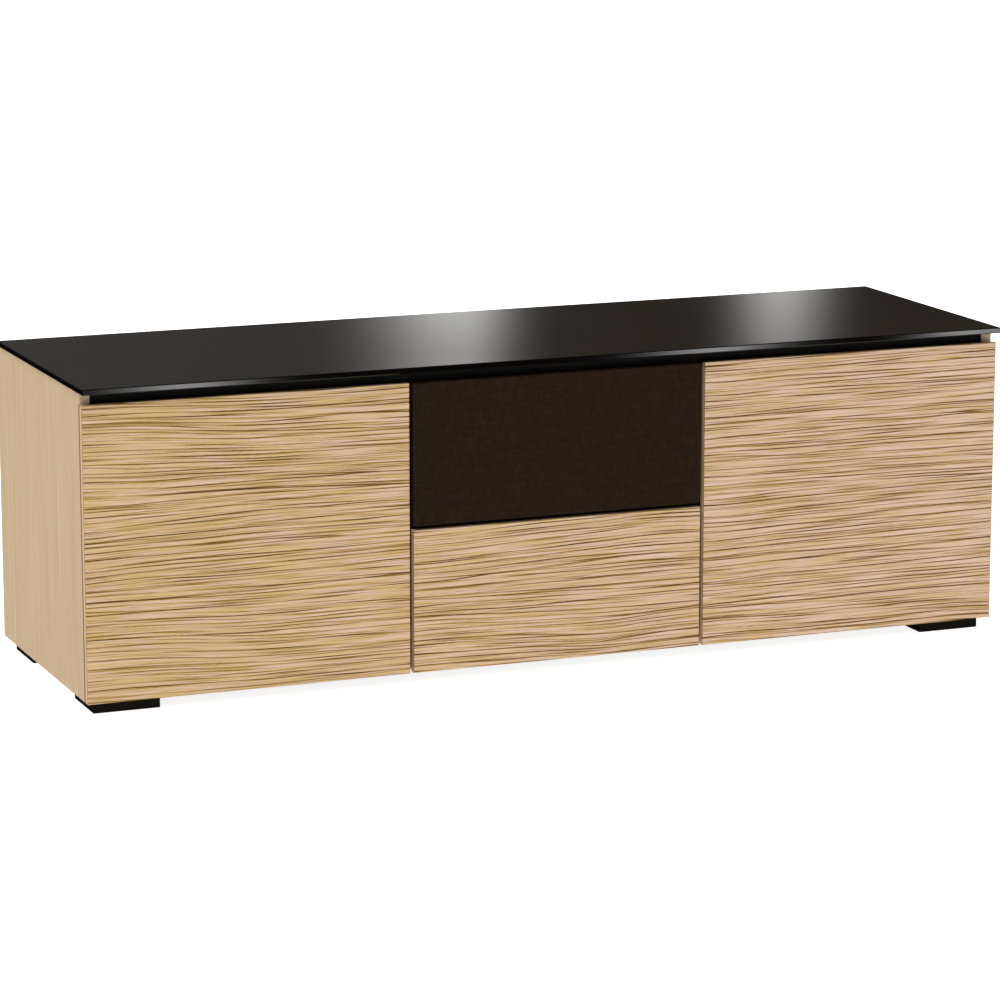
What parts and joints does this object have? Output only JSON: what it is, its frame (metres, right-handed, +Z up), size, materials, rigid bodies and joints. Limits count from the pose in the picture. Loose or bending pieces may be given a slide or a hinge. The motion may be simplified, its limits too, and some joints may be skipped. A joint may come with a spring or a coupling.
{
  "type": "media console cabinet",
  "caption": "Low media console with a black glass top, carved oak doors, a speaker-cloth grille and a drawer, on low feet.",
  "frame": {"origin": "centre of the footprint on the floor", "axes": "+X to the right along the fronts, +Y to the back, +Z up"},
  "size_m": [1.67, 0.534, 0.545],
  "materials": {
    "oak_face": "carved light oak, deep wavy grain, satin",
    "oak_core": "light oak veneer and edge band, satin",
    "oak_panel": "light oak veneer, straight vertical grain, satin",
    "black_glass": "black back-painted, polished",
    "black_laminate": "black laminate, matt",
    "black_hardboard": "black painted hardboard, matt",
    "black_frame": "black painted fibreboard, matt",
    "speaker_cloth": "dark brown-black acoustic cloth, open weave",
    "black_plastic": "moulded, fine texture",
    "black_foot": "moulded, matt",
    "clear_pad": "soft translucent pad",
    "birch": "pale birch plywood, lacquered",
    "zinc_steel": "zinc plated pressed steel",
    "pin_steel": "ground steel pin",
    "screw_steel": "zinc plated screws",
    "black_screw": "black oxide screws"
  },
  "bodies": {
    "cabinet": {"back_panel_screws": "black_screw", "bottom_panel": "black_laminate", "cable_grommets": "black_plastic", "cam_bolts": "zinc_steel", "cam_locks": "zinc_steel", "centre_back_panel": "black_hardboard", "centre_divider": "black_laminate", "centre_glides": "black_plastic", "drawer_slide_outers": "zinc_steel", "foot_screws": "screw_steel", "front_left_foot": "black_foot", "front_right_foot": "black_foot", "glass_pads": "clear_pad", "glass_top": "black_glass", "grille_sockets": "black_plastic", "hinge_plate_screws": "screw_steel", "left_back_panel": "black_hardboard", "left_hinge_arms": "zinc_steel", "left_hinge_plates": "zinc_steel", "left_partition": "black_laminate", "left_shelf": "black_laminate", "left_side_panel": "oak_panel", "partition_screws": "screw_steel", "rear_left_foot": "black_foot", "rear_right_foot": "black_foot", "right_back_panel": "black_hardboard", "right_hinge_arms": "zinc_steel", "right_hinge_plates": "zinc_steel", "right_partition": "black_laminate", "right_shelf": "black_laminate", "right_side_panel": "oak_panel", "shelf_pins": "zinc_steel", "slide_and_socket_screws": "screw_steel", "sub_top": "black_laminate"},
    "left_door": {"left_door_bumpers": "clear_pad", "left_door_core": "oak_core", "left_door_face": "oak_face", "left_hinge_cup_screws": "screw_steel", "left_hinge_cups": "zinc_steel", "left_hinge_pins": "pin_steel"},
    "right_door": {"right_door_bumpers": "clear_pad", "right_door_core": "oak_core", "right_door_face": "oak_face", "right_hinge_cup_screws": "screw_steel", "right_hinge_cups": "zinc_steel", "right_hinge_pins": "pin_steel"},
    "drawer": {"drawer_box_back": "birch", "drawer_box_front": "birch", "drawer_floor": "birch", "drawer_front_core": "oak_core", "drawer_front_face": "oak_face", "drawer_left_side": "birch", "drawer_right_side": "birch", "drawer_screws": "screw_steel", "drawer_slide_inners": "zinc_steel"},
    "slide_middles": {"drawer_slide_middles": "zinc_steel"},
    "grille": {"grille_cloth": "speaker_cloth", "grille_frame": "black_frame", "grille_pegs": "black_plastic"}
  },
  "joints": [
    {"name": "left_door_hinge", "type": "hinge", "parent": "cabinet", "child": "left_door", "pos_m": [-0.826, -0.2445, 0.269], "axis": [0, 0, -1], "range_deg": [0, 95]},
    {"name": "right_door_hinge", "type": "hinge", "parent": "cabinet", "child": "right_door", "pos_m": [0.826, -0.2445, 0.269], "axis": [0, 0, 1], "range_deg": [0, 95]},
    {"name": "drawer_slide", "type": "slide", "parent": "cabinet", "child": "drawer", "axis": [0, -1, 0], "range_m": [0, 0.4]},
    {"name": "middle_slide", "type": "slide", "parent": "cabinet", "child": "slide_middles", "axis": [0, -1, 0], "range_m": [0, 0.2]},
    {"name": "grille_pull", "type": "slide", "parent": "cabinet", "child": "grille", "axis": [0, -1, 0], "range_m": [0, 0.08]}
  ],
  "couplings": [
    {"joint": "middle_slide", "follows": "drawer_slide", "ratio": 0.5}
  ]
}
